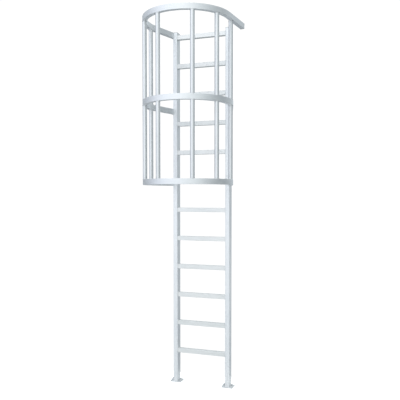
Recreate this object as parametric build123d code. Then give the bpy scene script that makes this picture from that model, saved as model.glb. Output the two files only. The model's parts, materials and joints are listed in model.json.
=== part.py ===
from build123d import *
import os
from math import acos, atan2, cos, hypot, radians, sin

# A fixed ladder with a safety cage. The origin is the centre of the left foot plate's underside.
# X runs across the ladder to the right stile, Y towards the wall and Z up. Millimetres.

# Stiles
stile_width = 44
stile_depth = 80
stile_wall = 3
stile_corner = 5
stile_spacing = 534
ladder_height = 3450
cap_thickness = 4
cap_plug_depth = 22
plug_wall = 2.5
plug_clearance = 0.3

# Foot plates
foot_width = 112
foot_depth = 100
foot_thickness = 10
foot_corner = 8
foot_hole_diameter = 12
foot_hole_spacing = 82

# Rungs
rung_pitch = 280
first_rung_height = 320
rung_size = 42
rung_wall = 2.5
rung_corner = 2
rung_recess = 5
rung_hole_clearance = 0.2
rung_end_inside = 9
collar_width = 3.5
collar_thickness = 3
groove_count = 3
groove_pitch = 8
groove_width = 2
groove_depth = 0.8

# Cage hoops, measured on the middle line of the tube they are bent from
hoop_depth = 40
hoop_height = 50
hoop_wall = 3
hoop_radius = 389
hoop_setback = 5
upper_bay = 740
lower_bay = 705
front_lap = 9
side_lap = 35
free_leg_offset = 423
free_leg_setback = 88
end_cap_thickness = 3
end_plug_depth = 15

# Cage struts
strut_diameter = 40
strut_wall = 2.5
strut_angles = (-97, -61, -20.4, 26, 59.5, 97)

# Sizes that follow from the ones above
centre_x = stile_spacing / 2
stile_front = -stile_depth / 2
stile_inner_half = stile_spacing / 2 - stile_width / 2
stile_outer_half = stile_spacing / 2 + stile_width / 2
stile_top = ladder_height - cap_thickness
rung_y = stile_front + rung_recess + rung_size / 2
rung_count = int((ladder_height - rung_size - first_rung_height) / rung_pitch) + 1
hoop_reach = hoop_radius + hoop_setback
hoop_middle_level = ladder_height - upper_bay
hoop_bottom_level = hoop_middle_level - lower_bay
leg_x = stile_outer_half - front_lap + hoop_depth / 2


def rounded_tube(width, depth, wall, corner):
    """Section of a rectangular tube, rounded outside and square inside."""
    outside = RectangleRounded(width, depth, corner)
    return outside - Rectangle(width - 2 * wall, depth - 2 * wall)


def square_tube(width, depth, wall):
    """Section of a rectangular tube with square corners."""
    return Rectangle(width, depth) - Rectangle(width - 2 * wall, depth - 2 * wall)


def eased_tube(width, depth, wall, corner):
    """Section of a rectangular tube with narrow flats along its outer edges."""
    outside = chamfer(Rectangle(width, depth).vertices(), corner)
    return outside - Rectangle(width - 2 * wall, depth - 2 * wall)


def stile(x, inward):
    """One stile: a rectangular tube with the rung holes through its inner wall only."""
    section = Pos(x, 0, foot_thickness) * rounded_tube(stile_width, stile_depth, stile_wall, stile_corner)
    tube = extrude(section, stile_top - foot_thickness)
    hole_size = rung_size + 2 * rung_hole_clearance
    hole = Box(2 * stile_wall, hole_size, hole_size)
    wall_x = x + inward * (stile_width - stile_wall) / 2
    return tube - [Pos(wall_x, rung_y, rung_height(i)) * hole for i in range(rung_count)]


def rung_height(i):
    """Height of a rung's middle line above the floor."""
    return first_rung_height + i * rung_pitch


def stile_cap(x):
    """A lid on the stile with a plug that fits inside the tube."""
    lid = extrude(RectangleRounded(stile_width, stile_depth, stile_corner), cap_thickness)
    plug_width = stile_width - 2 * (stile_wall + plug_clearance)
    plug_depth = stile_depth - 2 * (stile_wall + plug_clearance)
    plug = extrude(square_tube(plug_width, plug_depth, plug_wall), -cap_plug_depth)
    return Pos(x, 0, stile_top) * (lid + plug)


def foot_plate(x):
    """A base plate with one anchor hole on each side of the stile."""
    plate = extrude(chamfer(Rectangle(foot_width, foot_depth).vertices(), foot_corner), foot_thickness)
    for side in (-1, 1):
        plate -= Pos(side * foot_hole_spacing / 2, 0, foot_thickness / 2) * Cylinder(
            foot_hole_diameter / 2, foot_thickness + 2
        )
    return Pos(x, 0, 0) * plate


def rung(i):
    """A square tube with grip grooves along its top and a flared collar against each stile."""
    half_length = stile_inner_half + stile_wall + rung_end_inside
    section = eased_tube(rung_size, rung_size, rung_wall, rung_corner)
    for n in range(groove_count):
        groove_y = (n - (groove_count - 1) / 2) * groove_pitch
        section -= Pos(groove_y, rung_size / 2, 0) * Rectangle(groove_width, 2 * groove_depth)
    body = extrude(Plane.YZ * section, half_length, both=True)
    collar_size = rung_size + 2 * collar_width
    collar_section = chamfer(Rectangle(collar_size, collar_size).vertices(), rung_corner + collar_width)
    collar_section -= Rectangle(rung_size - 2 * rung_wall, rung_size - 2 * rung_wall)
    collar = extrude(Plane.YZ * collar_section, collar_thickness)
    body += Pos(stile_inner_half - collar_thickness, 0, 0) * collar
    body += Pos(-stile_inner_half, 0, 0) * collar
    return Pos(centre_x, rung_y, rung_height(i)) * body


def leg(side, x, y, extra):
    """Straight leg of a hoop through this point: where it leaves the arc, and its end."""
    reach_y = y + hoop_reach
    angle = atan2(reach_y, x) - acos(hoop_radius / hypot(x, reach_y))
    tangent = (side * hoop_radius * cos(angle), hoop_radius * sin(angle) - hoop_reach)
    end = (side * (x - extra * sin(angle)), y + extra * cos(angle))
    return tangent, end


def hoop_path(free_end):
    """Middle line of a hoop: a straight leg, a wide arc round the climber and a second leg."""
    left_tangent, left_end = leg(-1, leg_x, stile_front, side_lap)
    if free_end:
        right_tangent, right_end = leg(1, free_leg_offset, -free_leg_setback, 0)
    else:
        right_tangent, right_end = leg(1, leg_x, stile_front, side_lap)
    arc = ThreePointArc(left_tangent, (0, -hoop_reach - hoop_radius), right_tangent)
    return Wire([Line(left_end, left_tangent), arc, Line(right_tangent, right_end)])


def stile_notches():
    """Bars of the stiles' outer size, which notch what laps over the stiles' corners."""
    bar = Box(stile_width, stile_depth, 2 * hoop_height)
    return [Pos(side * stile_spacing / 2, 0, 0) * bar for side in (-1, 1)]


def hoop(level, free_end):
    """A hoop bent from rectangular tube, its legs notched over the stiles' front corners."""
    path = hoop_path(free_end)
    start = Plane(origin=path @ 0, x_dir=(0, 0, 1), z_dir=path % 0)
    section = start * square_tube(hoop_height, hoop_depth, hoop_wall)
    band = sweep(section, path=path) - stile_notches()
    return Pos(centre_x, 0, level - hoop_height / 2) * band


def hoop_end_caps(level, free_end):
    """Lids that close both ends of a hoop, each with a plug inside the tube."""
    path = hoop_path(free_end)
    plug_height = hoop_height - 2 * (hoop_wall + plug_clearance)
    plug_depth = hoop_depth - 2 * (hoop_wall + plug_clearance)
    lid = extrude(Rectangle(hoop_height, hoop_depth), end_cap_thickness)
    lid += extrude(square_tube(plug_height, plug_depth, plug_wall), -end_plug_depth)
    first = Plane(origin=path @ 0, x_dir=(0, 0, 1), z_dir=-(path % 0)) * lid
    last = Plane(origin=path @ 1, x_dir=(0, 0, 1), z_dir=path % 1) * lid
    caps = Compound([first - stile_notches(), last - stile_notches()])
    return Pos(centre_x, 0, level - hoop_height / 2) * caps


def strut(angle, low, high):
    """A round tube standing between two hoops, this many degrees round the arc from the front."""
    x = centre_x + hoop_radius * sin(radians(angle))
    y = -hoop_reach - hoop_radius * cos(radians(angle))
    section = Circle(strut_diameter / 2) - Circle(strut_diameter / 2 - strut_wall)
    return extrude(Pos(x, y, low) * section, high - low)


def write(name, shape):
    export_step(shape, f"parts/{name}.step")


def main():
    os.makedirs("parts", exist_ok=True)
    for side, x, inward in (("left", 0, 1), ("right", stile_spacing, -1)):
        write(f"stile_{side}", stile(x, inward))
        write(f"stile_cap_{side}", stile_cap(x))
        write(f"foot_plate_{side}", foot_plate(x))
    for i in range(rung_count):
        write(f"rung_{i + 1:02d}", rung(i))
    levels = (
        ("bottom", hoop_bottom_level, False),
        ("middle", hoop_middle_level, False),
        ("top", ladder_height, True),
    )
    for name, level, free_end in levels:
        write(f"hoop_{name}", hoop(level, free_end))
        write(f"hoop_end_caps_{name}", hoop_end_caps(level, free_end))
    bays = (
        ("lower", hoop_bottom_level, hoop_middle_level - hoop_height),
        ("upper", hoop_middle_level, ladder_height - hoop_height),
    )
    for bay, low, high in bays:
        for n, angle in enumerate(strut_angles):
            write(f"strut_{bay}_{n + 1}", strut(angle, low, high))


main()
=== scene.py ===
import bpy
import json
from math import cos, pi, radians, sin
from mathutils import Matrix, Vector

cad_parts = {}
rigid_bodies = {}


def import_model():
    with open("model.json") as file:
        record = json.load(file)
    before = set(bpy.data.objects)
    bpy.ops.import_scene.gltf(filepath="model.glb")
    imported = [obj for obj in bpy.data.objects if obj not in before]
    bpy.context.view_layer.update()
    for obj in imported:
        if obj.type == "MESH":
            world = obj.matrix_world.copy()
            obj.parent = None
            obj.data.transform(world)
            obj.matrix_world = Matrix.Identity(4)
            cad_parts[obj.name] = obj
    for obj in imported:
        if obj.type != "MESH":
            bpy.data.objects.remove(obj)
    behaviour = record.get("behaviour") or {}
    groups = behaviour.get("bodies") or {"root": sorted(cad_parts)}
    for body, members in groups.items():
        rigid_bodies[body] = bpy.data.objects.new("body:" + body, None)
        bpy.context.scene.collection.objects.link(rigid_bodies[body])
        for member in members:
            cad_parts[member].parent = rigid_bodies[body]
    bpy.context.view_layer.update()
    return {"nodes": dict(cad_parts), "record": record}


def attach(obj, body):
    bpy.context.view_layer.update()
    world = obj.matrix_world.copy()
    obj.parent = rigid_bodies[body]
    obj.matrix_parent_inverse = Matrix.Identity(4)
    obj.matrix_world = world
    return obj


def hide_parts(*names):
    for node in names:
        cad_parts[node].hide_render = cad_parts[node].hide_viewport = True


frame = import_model()
cadNodes = frame["nodes"]
print("frame loaded:", len(cadNodes), "nodes")

# the ladder's own measures in metres, as the CAD model has them
ladder = {
    "stiles": {"left": 0.0, "right": 0.534}, "stileHalfWidth": 0.022,
    "stileHalfDepth": 0.040, "plateTop": 0.010, "cageCentre": (0.267, -0.394),
    "cageRadius": 0.389, "hoopTops": {"bottom": 2.005, "middle": 2.710, "top": 3.450},
    "hoopHeight": 0.050,
}


# One shader value. Its operators add Math nodes, so shader maths reads as plain maths.
class Value:
    def __init__(self, tree, socket=None):
        self.tree = tree
        self.socket = socket

    # any node: its type, its settings first, then its sockets by name or number
    def node(self, kind, settings=None, sockets=None, out=0):
        made = self.tree.nodes.new(kind)
        for name, setting in (settings or {}).items():
            setattr(made, name, setting)
        for name, value in (sockets or {}).items():
            if isinstance(value, Value):
                self.tree.links.new(value.socket, made.inputs[name])
            else:
                made.inputs[name].default_value = value
        return Value(self.tree, made.outputs[out] if made.outputs else None)

    def math(self, operation, first, second=0.0, clamp=False):
        settings = {"operation": operation, "use_clamp": clamp}
        return self.node("ShaderNodeMath", settings, {0: first, 1: second})

    def __add__(self, other): return self.math("ADD", self, other)
    def __radd__(self, other): return self.math("ADD", other, self)
    def __sub__(self, other): return self.math("SUBTRACT", self, other)
    def __rsub__(self, other): return self.math("SUBTRACT", other, self)
    def __mul__(self, other): return self.math("MULTIPLY", self, other)
    def __rmul__(self, other): return self.math("MULTIPLY", other, self)
    def __pow__(self, other): return self.math("POWER", self, other)

    # keeps a value between 0 and 1
    def clipped(self): return self.math("ADD", self, 0.0, clamp=True)

    # another output of the same node
    def also(self, out): return Value(self.tree, self.socket.node.outputs[out])


def rgb(colour):
    return (*colour, 1.0)


# a soft step from 0 to 1 as the value goes from low to high
def ramped(value, low, high):
    return value.node("ShaderNodeMapRange", {"interpolation_type": "SMOOTHSTEP"},
                      {"Value": value, "From Min": low, "From Max": high})


# 0 on the mask gives the first colour, 1 the second; Mix keeps its colours on 6 and 7
def mixed(mask, first, second):
    return mask.node("ShaderNodeMix", {"data_type": "RGBA"},
                     {"Factor": mask, 6: first, 7: second}, out=2)


def noised(place, scale, detail=3.0, roughness=0.55):
    return place.node("ShaderNodeTexNoise", {}, {
        "Vector": place, "Scale": scale, "Detail": detail, "Roughness": roughness})


wear = {"samples": 6, "turned": (0.004, 0.16), "patches": (0.36, 0.66), "least": 0.35}


# the edges of a piece, broken up where handling has worn them
def wornEdges(start, place, look):
    eased = start.node("ShaderNodeBevel", {"samples": wear["samples"]},
                       {"Radius": look["edgeWidth"]})
    facing = start.node("ShaderNodeNewGeometry", out="Normal")
    same = start.node("ShaderNodeVectorMath", {"operation": "DOT_PRODUCT"},
                      {0: eased, 1: facing}, out="Value")
    turned = ramped(1.0 - same, *wear["turned"])
    patches = ramped(noised(place, look["edgePatches"], detail=4.0), *wear["patches"])
    return (turned * (wear["least"] + (1.0 - wear["least"]) * patches)).clipped()


# where the drawn surface's grain runs: straight along an axis, or round a hoop's bend
def grainPlace(place, look):
    stretch = look["grainStretch"]
    if look["grain"] != "bend":
        scale = [stretch] * 3
        scale["xyz".index(look["grain"])] = 1.0
        return place.node("ShaderNodeMapping", {}, {"Vector": place, "Scale": scale})
    parts = place.node("ShaderNodeSeparateXYZ", {}, {0: place})
    x = parts - ladder["cageCentre"][0]
    y = parts.also(1) - ladder["cageCentre"][1]
    turn = place.math("ARCTAN2", y, x) * ladder["cageRadius"]
    away = (x * x + y * y) ** 0.5
    return place.node("ShaderNodeCombineXYZ", {},
                      {0: turn, 1: away * stretch, 2: parts.also(2) * stretch})


# an empty material, its first value, and the place on the piece that its patterns read
def blank(name):
    material = bpy.data.materials.new(name)
    material.use_nodes = True
    material.node_tree.nodes.clear()
    start = Value(material.node_tree)
    return material, start, start.node("ShaderNodeTexCoord", out="Object")


# lays a second colour over the first where the mask is high, as strongly as depth says
def overlaid(mask, depth, under, over):
    return mixed((mask * depth).clipped(), under, rgb(over))


# the shader that every finish ends in
def coated(start, look, colour, roughness, height):
    bump = start.node("ShaderNodeBump", {}, {
        "Strength": look["bump"], "Distance": look["bumpDepth"], "Height": height})
    shader = start.node("ShaderNodeBsdfPrincipled", {}, {
        "Base Color": colour, "Metallic": look["metallic"],
        "Roughness": roughness.clipped(), "Normal": bump})
    start.node("ShaderNodeOutputMaterial", {}, {"Surface": shader})


# drawn aluminium: streaks along the grain, slow clouds of tone, fine specks, worn edges
def drawnMetal(name, look):
    material, start, place = blank(name)
    along = grainPlace(place, look)
    streaks = noised(along, look["streakScale"], detail=4.0, roughness=0.6)
    fine = noised(along, look["streakScale"] * look["fineness"], detail=2.0, roughness=0.5)
    clouds = noised(place, look["cloudScale"])
    specks = noised(place, look["speckScale"], detail=2.0, roughness=0.7)
    edges = wornEdges(start, place, look)
    toned = mixed(ramped(clouds, *look["cloudRange"]), rgb(look["shade"]), rgb(look["tone"]))
    streaked = overlaid(ramped(streaks, *look["streakRange"]), look["streakDepth"],
                        toned, look["streakTone"])
    marked = overlaid(ramped(specks, *look["speckRange"]), look["speckDepth"],
                      streaked, look["speckTone"])
    colour = overlaid(edges, look["edgeDepth"], marked, look["edgeTone"])
    dull = look["dulling"]
    roughness = (look["roughness"] + dull["streaks"] * (streaks - 0.5)
                 + dull["clouds"] * (clouds - 0.5)
                 + dull["specks"] * ramped(specks, *look["dullSpecks"])
                 + dull["edges"] * edges)
    relief = look["relief"]
    coated(start, look, colour, roughness, fine * relief["fine"]
           + streaks * relief["streaks"] + specks * relief["specks"])
    return material


# hot-dip zinc: flat crystals, each of its own tone and gloss, under a slight bloom
def zincCoat(name, look):
    material, start, place = blank(name)
    crystals = start.node("ShaderNodeTexVoronoi", {},
                          {"Vector": place, "Scale": look["crystals"]})
    split = start.node("ShaderNodeSeparateColor", {}, {"Color": crystals.also(1)})
    bloom = noised(place, look["bloomScale"], detail=4.0)
    grit = noised(place, look["gritScale"], roughness=0.65)
    edges = wornEdges(start, place, look)
    toned = mixed(split, rgb(look["shade"]), rgb(look["tone"]))
    dusted = overlaid(ramped(bloom, *look["bloomRange"]), look["bloomDepth"],
                      toned, look["bloomTone"])
    colour = overlaid(edges, look["edgeDepth"], dusted, look["edgeTone"])
    dull = look["dulling"]
    roughness = (look["roughness"] + dull["crystals"] * (split.also(1) - 0.5)
                 + dull["bloom"] * (bloom - 0.5) + dull["edges"] * edges)
    relief = look["relief"]
    coated(start, look, colour, roughness, grit * relief["grit"]
           + bloom * relief["bloom"] + crystals * relief["crystals"])
    return material


# weld metal: dull between the ripples, bright where the bead was brushed
def weldBloom(name, look):
    material, start, place = blank(name)
    soot = noised(place, look["sootScale"], detail=4.0, roughness=0.6)
    pits = noised(place, look["pitScale"], detail=2.0, roughness=0.7)
    edges = wornEdges(start, place, look)
    toned = mixed(ramped(soot, *look["sootRange"]), rgb(look["shade"]), rgb(look["tone"]))
    colour = overlaid(edges, look["edgeDepth"], toned, look["edgeTone"])
    dull = look["dulling"]
    roughness = (look["roughness"] + dull["soot"] * (soot - 0.5)
                 + dull["pits"] * (pits - 0.5))
    relief = look["relief"]
    coated(start, look, colour, roughness, pits * relief["pits"] + soot * relief["soot"])
    return material


# moulded plastic: a fine even grain, faint mottling and scuffed corners
def mouldedPlastic(name, look):
    material, start, place = blank(name)
    grain = noised(place, look["grainScale"], detail=2.0, roughness=0.6)
    mottle = noised(place, look["mottleScale"])
    edges = wornEdges(start, place, look)
    toned = mixed(ramped(mottle, *look["mottleRange"]), rgb(look["shade"]), rgb(look["tone"]))
    colour = overlaid(edges, look["edgeDepth"], toned, look["edgeTone"])
    dull = look["dulling"]
    roughness = (look["roughness"] + dull["grain"] * (grain - 0.5)
                 + dull["mottle"] * (mottle - 0.5))
    coated(start, look, colour, roughness, grain)
    return material


print("materials")
drawn = {
    "grain": "z", "grainStretch": 28.0, "streakScale": 9.0, "fineness": 4.5,
    "cloudScale": 2.6, "speckScale": 240.0, "tone": (0.86, 0.875, 0.89),
    "shade": (0.79, 0.815, 0.84), "cloudRange": (0.32, 0.68),
    "streakTone": (0.92, 0.93, 0.94), "streakDepth": 0.45, "streakRange": (0.35, 0.7),
    "speckTone": (0.60, 0.63, 0.66), "speckDepth": 0.35, "speckRange": (0.66, 0.74),
    "edgeTone": (0.96, 0.965, 0.97), "edgeDepth": 0.7, "edgeWidth": 0.0022,
    "edgePatches": 22.0, "roughness": 0.42, "dullSpecks": (0.62, 0.76),
    "dulling": {"streaks": 0.10, "clouds": 0.08, "specks": 0.12, "edges": -0.10},
    "relief": {"fine": 0.6, "streaks": 0.3, "specks": 0.25},
    "metallic": 0.85, "bump": 0.35, "bumpDepth": 0.0006,
}
uprightMetal = drawnMetal("drawnUpright", drawn)
hoopMetal = drawnMetal("drawnHoop", {**drawn, "grain": "bend"})
rungMetal = drawnMetal("drawnRung", {
    **drawn, "grain": "x", "tone": (0.82, 0.825, 0.815), "shade": (0.75, 0.765, 0.76),
    "roughness": 0.38})
strutMetal = drawnMetal("drawnStrut", {
    **drawn, "streakScale": 14.0, "tone": (0.80, 0.81, 0.82), "shade": (0.72, 0.74, 0.76),
    "streakTone": (0.87, 0.88, 0.89), "roughness": 0.33})
zinc = {
    "crystals": 95.0, "bloomScale": 14.0, "gritScale": 420.0, "tone": (0.86, 0.87, 0.88),
    "shade": (0.72, 0.735, 0.75), "bloomTone": (0.80, 0.81, 0.82), "bloomDepth": 0.5,
    "bloomRange": (0.45, 0.75), "edgeTone": (0.93, 0.935, 0.94), "edgeDepth": 0.6,
    "edgeWidth": 0.0018, "edgePatches": 60.0, "roughness": 0.44,
    "dulling": {"crystals": 0.14, "bloom": 0.10, "edges": -0.08},
    "relief": {"grit": 0.5, "bloom": 0.4, "crystals": 0.3},
    "metallic": 0.85, "bump": 0.3, "bumpDepth": 0.0005,
}
footMetal = zincCoat("zincFoot", zinc)
boltMetal = zincCoat("zincBolt", {
    **zinc, "crystals": 700.0, "bloomScale": 120.0, "tone": (0.78, 0.79, 0.80),
    "shade": (0.62, 0.63, 0.64), "bloomTone": (0.70, 0.705, 0.71),
    "edgeTone": (0.84, 0.845, 0.85), "edgeWidth": 0.0006, "roughness": 0.40})
weldMetal = weldBloom("weldBead", {
    "sootScale": 160.0, "pitScale": 900.0, "tone": (0.80, 0.81, 0.82),
    "shade": (0.62, 0.63, 0.65), "sootRange": (0.35, 0.65),
    "edgeTone": (0.93, 0.935, 0.94), "edgeDepth": 0.7, "edgeWidth": 0.0008,
    "edgePatches": 200.0, "roughness": 0.36, "dulling": {"soot": 0.18, "pits": 0.10},
    "relief": {"pits": 0.6, "soot": 0.4}, "metallic": 0.9, "bump": 0.4,
    "bumpDepth": 0.0003})
capPlastic = mouldedPlastic("greyPlastic", {
    "grainScale": 700.0, "mottleScale": 40.0, "tone": (0.40, 0.42, 0.44),
    "shade": (0.33, 0.35, 0.37), "mottleRange": (0.3, 0.7),
    "edgeTone": (0.56, 0.58, 0.60), "edgeDepth": 0.6, "edgeWidth": 0.0012,
    "edgePatches": 90.0, "roughness": 0.56, "dulling": {"grain": 0.12, "mottle": 0.08},
    "metallic": 0.0, "bump": 0.25, "bumpDepth": 0.0003})
finishes = {"stile_aluminium": uprightMetal, "rung_aluminium": rungMetal,
            "hoop_aluminium": hoopMetal, "strut_aluminium": strutMetal,
            "foot_steel": footMetal, "cap_plastic": capPlastic}
slotOf = {entry["node"]: entry["material_slot"] for entry in frame["record"]["subparts"]}
for name, piece in cadNodes.items():
    for place in piece.material_slots:
        place.material = finishes[slotOf[name]]


# makes one object the only selected and active one
def choose(piece):
    for other in bpy.context.view_layer.objects:
        other.select_set(other == piece)
    bpy.context.view_layer.objects.active = piece


# opens the active object for editing, with edges, vertices or faces to select
def editing(mode="EDGE"):
    bpy.ops.object.mode_set(mode="EDIT")
    bpy.ops.mesh.select_mode(type=mode)


def doneEditing():
    bpy.ops.object.mode_set(mode="OBJECT")


# selects the edges, vertices or polygons that the test picks
def pick(kind, test):
    bpy.ops.mesh.select_all(action="DESELECT")
    doneEditing()
    for element in getattr(bpy.context.object.data, kind):
        element.select = test(element)
    bpy.ops.object.mode_set(mode="EDIT")


# applies the modifier that was added last
def applied(piece):
    bpy.ops.object.modifier_apply(modifier=piece.modifiers[-1].name)


# shades the curves smooth and leaves the flat faces flat
def shaded(piece, smoothBelow=30.0):
    choose(piece)
    bpy.ops.object.shade_smooth_by_angle(angle=radians(smoothBelow))
    bpy.ops.object.modifier_add(type="WEIGHTED_NORMAL")
    piece.modifiers[-1].keep_sharp = True
    applied(piece)


# puts a finished piece's place in its mesh, names it and gives it its metal and body
def finished(piece, name, material, slot, *replaced):
    choose(piece)
    bpy.ops.object.transform_apply(location=True, rotation=True, scale=True)
    piece.name = name
    piece.data.name = name
    piece.data.materials.clear()
    piece.data.materials.append(material)
    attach(piece, "root")
    if replaced:
        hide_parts(*replaced)
    return piece


# a copy of a finished piece with its own mesh, moved from here to there and turned about it
def copied(piece, name, here, there, slot, *replaced, turn=0.0):
    made = bpy.data.objects.new(name, piece.data.copy())
    made.data.transform(Matrix.Translation(there) @ Matrix.Rotation(turn, 4, "Z")
                        @ Matrix.Translation(-Vector(here)))
    bpy.context.collection.objects.link(made)
    return finished(made, name, piece.data.materials[0], slot, *replaced)


merging = {"within": 0.00002, "flatWithin": 0.2}


# a copy of a CAD node's mesh, its loose triangles merged into faces
def mergedCopy(nodeName):
    piece = bpy.data.objects.new(nodeName + "_finished", cadNodes[nodeName].data.copy())
    bpy.context.collection.objects.link(piece)
    choose(piece)
    editing()
    bpy.ops.mesh.select_all(action="SELECT")
    bpy.ops.mesh.remove_doubles(threshold=merging["within"])
    bpy.ops.mesh.dissolve_limited(angle_limit=radians(merging["flatWithin"]))
    bpy.ops.mesh.normals_make_consistent(inside=False)
    doneEditing()
    return piece


print("stiles with smooth corners")
for side in ladder["stiles"]:
    for part, material, slot in (("stile", uprightMetal, "stile_aluminium"),
                                 ("stile_cap", capPlastic, "cap_plastic")):
        piece = mergedCopy(part + "_" + side)
        shaded(piece)
        finished(piece, piece.name, material, slot, part + "_" + side)

print("hoops with rounded long edges")
hoopEdge = {"radius": 0.0026, "segments": 3, "slack": 0.0002, "sharper": 60.0}
for level, top in ladder["hoopTops"].items():
    piece = mergedCopy("hoop_" + level)
    faces = (top, top - ladder["hoopHeight"])
    editing()
    bpy.ops.mesh.select_all(action="DESELECT")
    bpy.ops.mesh.edges_select_sharp(sharpness=radians(hoopEdge["sharper"]))
    doneEditing()
    mesh = piece.data
    for edge in mesh.edges:
        heights = [mesh.vertices[n].co.z for n in edge.vertices]
        onFace = any(all(abs(z - face) < hoopEdge["slack"] for z in heights) for face in faces)
        edge.select = edge.select and onFace
    bpy.ops.object.mode_set(mode="EDIT")
    bpy.ops.mesh.bevel(offset=hoopEdge["radius"], segments=hoopEdge["segments"],
                       affect="EDGES")
    bpy.ops.mesh.select_all(action="SELECT")
    bpy.ops.mesh.normals_make_consistent(inside=False)
    doneEditing()
    shaded(piece)
    finished(piece, piece.name, hoopMetal, "hoop_aluminium", "hoop_" + level)

print("struts")
strut = {"radius": 0.020, "wall": 0.0025, "sides": 56,
         "angles": (-97.0, -61.0, -20.4, 26.0, 59.5, 97.0),
         "bays": {"lower": (2.005, 2.660), "upper": (2.710, 3.400)}}
# each strut's place on the floor, round the cage from left to right
strutFeet = [(ladder["cageCentre"][0] + ladder["cageRadius"] * sin(radians(angle)),
              ladder["cageCentre"][1] - ladder["cageRadius"] * cos(radians(angle)), 0.0)
             for angle in strut["angles"]]
for bay, (low, high) in strut["bays"].items():
    middle = Vector((strutFeet[0][0], strutFeet[0][1], (low + high) / 2))
    bpy.ops.object.select_all(action="DESELECT")
    bpy.ops.mesh.primitive_cylinder_add(
        vertices=strut["sides"], radius=strut["radius"], depth=high - low,
        end_fill_type="NOTHING", location=middle)
    first = bpy.context.object
    bpy.ops.object.modifier_add(type="SOLIDIFY")
    first.modifiers[-1].thickness = strut["wall"]
    applied(first)
    shaded(first)
    name = "strut_" + bay + "_1"
    finished(first, name + "_tube", strutMetal, "strut_aluminium", name)
    for n, foot in enumerate(strutFeet[1:], 2):
        name = "strut_" + bay + "_" + str(n)
        copied(first, name + "_tube", strutFeet[0], foot, "strut_aluminium", name)

print("welds")
bead = {"radius": 0.0021, "step": 0.0016, "every": 2, "pinch": 0.80, "roundness": 2,
        "strutGap": 0.0003, "strutTurn": 0.7, "footGap": 0.0006, "footCorner": 0.0055,
        "footSegments": 4, "mergeWithin": 0.00001, "smoothBelow": 50.0}


# cuts the long edges of an outline into short steps of nearly one length
def stepped(piece):
    mesh = piece.data
    slack = 0.00002

    def length(edge):
        first, second = (mesh.vertices[n].co for n in edge.vertices)
        return (first - second).length

    editing()
    for long in sorted({round(length(edge), 5) for edge in mesh.edges}):
        cuts = round(long / bead["step"]) - 1
        if cuts > 0:
            pick("edges", lambda edge: abs(length(edge) - long) < slack)
            bpy.ops.mesh.subdivide(number_cuts=cuts)
    doneEditing()


# turns an outline of edges into a rippled bead of weld metal
def welded(piece, name, slot):
    choose(piece)
    stepped(piece)
    bpy.ops.object.convert(target="CURVE")
    cord = bpy.context.object.data
    cord.bevel_depth = bead["radius"]
    cord.bevel_resolution = bead["roundness"]
    cord.use_fill_caps = True
    for n, point in enumerate(cord.splines[0].points):
        point.radius = bead["pinch"] if n % bead["every"] == 0 else 1.0
    bpy.ops.object.convert(target="MESH")
    editing()
    bpy.ops.mesh.select_all(action="SELECT")
    bpy.ops.mesh.remove_doubles(threshold=bead["mergeWithin"])
    bpy.ops.mesh.normals_make_consistent(inside=False)
    doneEditing()
    bpy.ops.object.shade_smooth_by_angle(angle=radians(bead["smoothBelow"]))
    return finished(bpy.context.object, name, weldMetal, slot)


# one bead round a strut's end, copied to both ends of every strut
ends = [("strut_" + bay + "_" + str(n), where, Vector((foot[0], foot[1], z)))
        for bay, (low, high) in strut["bays"].items()
        for n, foot in enumerate(strutFeet, 1)
        for where, z in (("foot", low), ("head", high))]
firstName, firstWhere, here = ends[0]
pairs = round(pi * strut["radius"] / bead["step"])
bpy.ops.object.select_all(action="DESELECT")
bpy.ops.mesh.primitive_circle_add(vertices=2 * pairs, fill_type="NOTHING", location=here,
                                  radius=strut["radius"] + bead["strutGap"])
ring = welded(bpy.context.object, firstName + "_weld_" + firstWhere, "strut_aluminium")
for n, (name, where, there) in enumerate(ends[1:], 1):
    copied(ring, name + "_weld_" + where, here, there, "strut_aluminium",
           turn=bead["strutTurn"] * n)

# one bead round each stile where it stands on its foot plate
for side, x in ladder["stiles"].items():
    bpy.ops.object.select_all(action="DESELECT")
    bpy.ops.mesh.primitive_plane_add(size=1.0, location=(x, 0.0, ladder["plateTop"]))
    piece = bpy.context.object
    wide, deep = (2 * (ladder[half] + bead["footGap"])
                  for half in ("stileHalfWidth", "stileHalfDepth"))
    editing("VERT")
    bpy.ops.mesh.select_all(action="SELECT")
    bpy.ops.transform.resize(value=(wide, deep, 1.0), center_override=piece.location)
    bpy.ops.mesh.bevel(offset=bead["footCorner"], segments=bead["footSegments"],
                       affect="VERTICES")
    bpy.ops.mesh.delete(type="ONLY_FACE")
    doneEditing()
    welded(piece, "stile_" + side + "_weld_foot", "foot_steel")

# a bead round each leg where its notch meets the stile's front corner
legWeld = {"lap": 0.009, "sideRun": 0.030, "topStops": 0.043, "seed": 0.001,
           "legs": (("bottom", "left"), ("bottom", "right"), ("middle", "left"),
                    ("middle", "right"), ("top", "left"))}
for level, side in legWeld["legs"]:
    inward = 1.0 if side == "left" else -1.0
    top = ladder["hoopTops"][level]
    corner = (ladder["stiles"][side] - inward * ladder["stileHalfWidth"],
              legWeld["sideRun"] - ladder["stileHalfDepth"], top - ladder["hoopHeight"])
    moves = [(0, -legWeld["sideRun"], 0), (inward * legWeld["lap"], 0, 0)]
    if level == "top":
        moves += [(0, 0, legWeld["topStops"])]
    else:
        moves += [(0, 0, ladder["hoopHeight"]), (-inward * legWeld["lap"], 0, 0),
                  (0, legWeld["sideRun"], 0)]
    # a tiny triangle shrinks to the one vertex that the line is drawn out from
    bpy.ops.object.select_all(action="DESELECT")
    bpy.ops.mesh.primitive_circle_add(vertices=3, radius=legWeld["seed"], location=corner)
    piece = bpy.context.object
    editing("VERT")
    bpy.ops.mesh.select_all(action="SELECT")
    bpy.ops.mesh.merge(type="CENTER")
    for move in moves:
        bpy.ops.mesh.extrude_vertices_move(TRANSFORM_OT_translate={"value": move})
    doneEditing()
    welded(piece, "hoop_" + level + "_weld_" + side, "hoop_aluminium")

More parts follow.
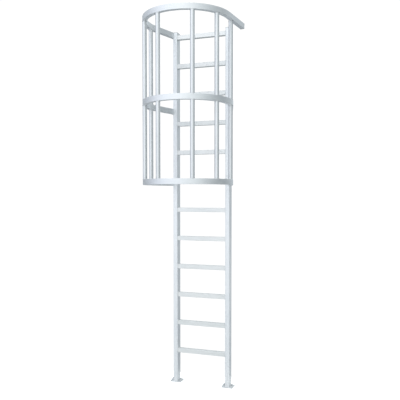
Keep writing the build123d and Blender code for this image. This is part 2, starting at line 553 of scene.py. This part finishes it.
print("floor anchors")
anchor = {
    "fromStile": 0.041, "washerRadius": 0.012, "washerHeight": 0.0025, "washerEdge": 0.0005,
    "washerSides": 40, "nutWidth": 0.019, "nutHeight": 0.010, "nutCorner": 0.0017,
    "studRadius": 0.0056, "studSides": 24, "studFoot": 0.002, "threads": 7,
    "threadRise": 0.0005, "threadDip": 0.91, "tip": 0.0012, "tipDraw": 0.80,
    "sharper": 60.0, "smoothBelow": 30.0, "copyTurns": (0.75, 0.45, 1.0),
}


def addedDrum(sides, radius, foot, height):
    bpy.ops.object.select_all(action="DESELECT")
    bpy.ops.mesh.primitive_cylinder_add(vertices=sides, radius=radius, depth=height,
                                        location=(0.0, 0.0, foot + height / 2))
    return bpy.context.object


# pulls the picked end face up by this much and draws it in or out
def pulled(rise, draw):
    bpy.ops.mesh.extrude_region_move(TRANSFORM_OT_translate={"value": (0, 0, rise)})
    bpy.ops.transform.resize(value=(draw, draw, 1.0), center_override=(0, 0, 0))


washerFoot = ladder["plateTop"]
nutFoot = washerFoot + anchor["washerHeight"]
nutTop = nutFoot + anchor["nutHeight"]
washer = addedDrum(anchor["washerSides"], anchor["washerRadius"], washerFoot,
                   anchor["washerHeight"])
editing()
bpy.ops.mesh.select_all(action="DESELECT")
bpy.ops.mesh.edges_select_sharp(sharpness=radians(anchor["sharper"]))
bpy.ops.mesh.bevel(offset=anchor["washerEdge"], segments=2, affect="EDGES")
doneEditing()
nut = addedDrum(6, anchor["nutWidth"] / 2 / cos(pi / 6), nutFoot, anchor["nutHeight"])
editing("VERT")
pick("vertices", lambda corner: corner.co.z > 0)
bpy.ops.mesh.bevel(offset=anchor["nutCorner"], segments=3, affect="VERTICES")
doneEditing()
stud = addedDrum(anchor["studSides"], anchor["studRadius"], anchor["studFoot"],
                 nutTop - anchor["studFoot"])
editing("FACE")
pick("polygons", lambda face: face.normal.z > 0.9)
for n in range(anchor["threads"]):
    pulled(anchor["threadRise"], anchor["threadDip"])
    pulled(anchor["threadRise"], 1.0 / anchor["threadDip"])
pulled(anchor["tip"], anchor["tipDraw"])
doneEditing()
choose(nut)
washer.select_set(True)
stud.select_set(True)
bpy.ops.object.join()
bpy.ops.object.shade_smooth_by_angle(angle=radians(anchor["smoothBelow"]))
places = [("anchor_" + side + "_" + where, Vector((x + shift * anchor["fromStile"], 0.0, 0.0)))
          for side, x in ladder["stiles"].items()
          for where, shift in (("outer" if side == "left" else "inner", -1.0),
                               ("inner" if side == "left" else "outer", 1.0))]
nutName, nutPlace = places[0]
nut.location += nutPlace
finished(nut, nutName, boltMetal, "foot_steel")
for (name, there), turn in zip(places[1:], anchor["copyTurns"]):
    copied(nut, name, nutPlace, there, "foot_steel", turn=turn)

print("floor")
studioFloor = {"size": 12.0, "centre": (-0.5, -5.75, 0.0), "grey": 0.85, "glow": 0.85}
white = (1.0, 1.0, 1.0, 1.0)
bpy.ops.object.select_all(action="DESELECT")
bpy.ops.mesh.primitive_plane_add(size=studioFloor["size"], location=studioFloor["centre"])
floor = bpy.context.object
floor.name = "studioFloor"
floorPaint = bpy.data.materials.new("paleFloor")
floorPaint.use_nodes = True
floorPaint.node_tree.nodes.clear()
start = Value(floorPaint.node_tree)
seen = start.node("ShaderNodeLightPath", out="Is Camera Ray")
matt = start.node("ShaderNodeBsdfDiffuse", {}, {"Color": rgb([studioFloor["grey"]] * 3)})
glow = start.node("ShaderNodeEmission", {}, {"Color": white,
                                             "Strength": studioFloor["glow"]})
lifted = start.node("ShaderNodeAddShader", {}, {0: matt, 1: glow})
start.node("ShaderNodeOutputMaterial", {}, {"Surface": start.node(
    "ShaderNodeMixShader", {}, {0: seen, 1: matt, 2: lifted})})
floor.data.materials.append(floorPaint)

print("light")
# each studio light is a wide soft glow on the sky, brightest where it comes from
studio = {"backdrop": 1.05, "spread": 4.0, "lights": {
    "overhead": {"from": (0.0, 0.0, 1.0), "strength": 0.85, "tint": (0.98, 1.02, 1.0)},
    "front": {"from": (0.0, -0.98, 0.2), "strength": 0.48, "tint": (1.04, 1.0, 0.90)},
    "frontLeft": {"from": (-0.69, -0.69, 0.2), "strength": 0.72, "tint": (0.88, 0.96, 1.13)},
    "frontRight": {"from": (0.69, -0.69, 0.2), "strength": 0.45, "tint": (0.88, 1.01, 1.09)},
    "back": {"from": (0.0, 0.98, 0.2), "strength": 0.64, "tint": (0.91, 1.0, 1.06)}}}
world = bpy.data.worlds.new("softStudio")
bpy.context.scene.world = world
world.use_nodes = True
world.node_tree.nodes.clear()
start = Value(world.node_tree)
toward = start.node("ShaderNodeTexCoord", out="Generated")
lit = None
for light in studio["lights"].values():
    facing = start.node("ShaderNodeVectorMath", {"operation": "DOT_PRODUCT"},
                        {0: toward, 1: Vector(light["from"]).normalized()[:]}, out="Value")
    share = (0.5 + 0.5 * facing) ** studio["spread"]
    sky = start.node("ShaderNodeBackground", {}, {"Color": rgb(light["tint"]),
                                                  "Strength": share * light["strength"]})
    lit = start.node("ShaderNodeAddShader", {}, {0: lit, 1: sky}) if lit else sky
seen = start.node("ShaderNodeLightPath", out="Is Camera Ray")
shown = start.node("ShaderNodeBackground", {}, {"Color": white,
                                                "Strength": studio["backdrop"]})
start.node("ShaderNodeOutputWorld", {}, {"Surface": start.node(
    "ShaderNodeMixShader", {}, {0: seen, 1: lit, 2: shown})})

# a low panel near the right stile, which lightens its side more than the left stile's
panel = {"place": (1.5, 0.5, 0.7), "aim": (0.55, 0.0, 0.7), "wide": 0.6, "high": 1.4,
         "power": 2.6}
bpy.ops.object.light_add(type="AREA", location=panel["place"])
sideLight = bpy.context.object
sideLight.name = "sidePanel"
sideLight.data.shape = "RECTANGLE"
sideLight.data.size = panel["wide"]
sideLight.data.size_y = panel["high"]
sideLight.data.energy = panel["power"]
towards = Vector(panel["aim"]) - Vector(panel["place"])
sideLight.rotation_euler = towards.to_track_quat("-Z", "Y").to_euler()
sideLight.visible_camera = False

print("camera")
viewpoint = {"place": (1.9987, -5.0092, 1.8635), "turn": 19.305, "down": 2.100,
             "lens": 48.755, "sensor": 36.0, "raise": 0.0375, "farthest": 200.0}
bpy.ops.object.camera_add(location=viewpoint["place"],
                          rotation=(radians(90.0 - viewpoint["down"]), 0.0,
                                    radians(viewpoint["turn"])))
camera = bpy.context.object
camera.name = "photoCamera"
camera.data.sensor_width = viewpoint["sensor"]
camera.data.lens = viewpoint["lens"]
camera.data.shift_y = viewpoint["raise"]
camera.data.clip_end = viewpoint["farthest"]
bpy.context.scene.camera = camera
bpy.context.scene.view_settings.view_transform = "Standard"
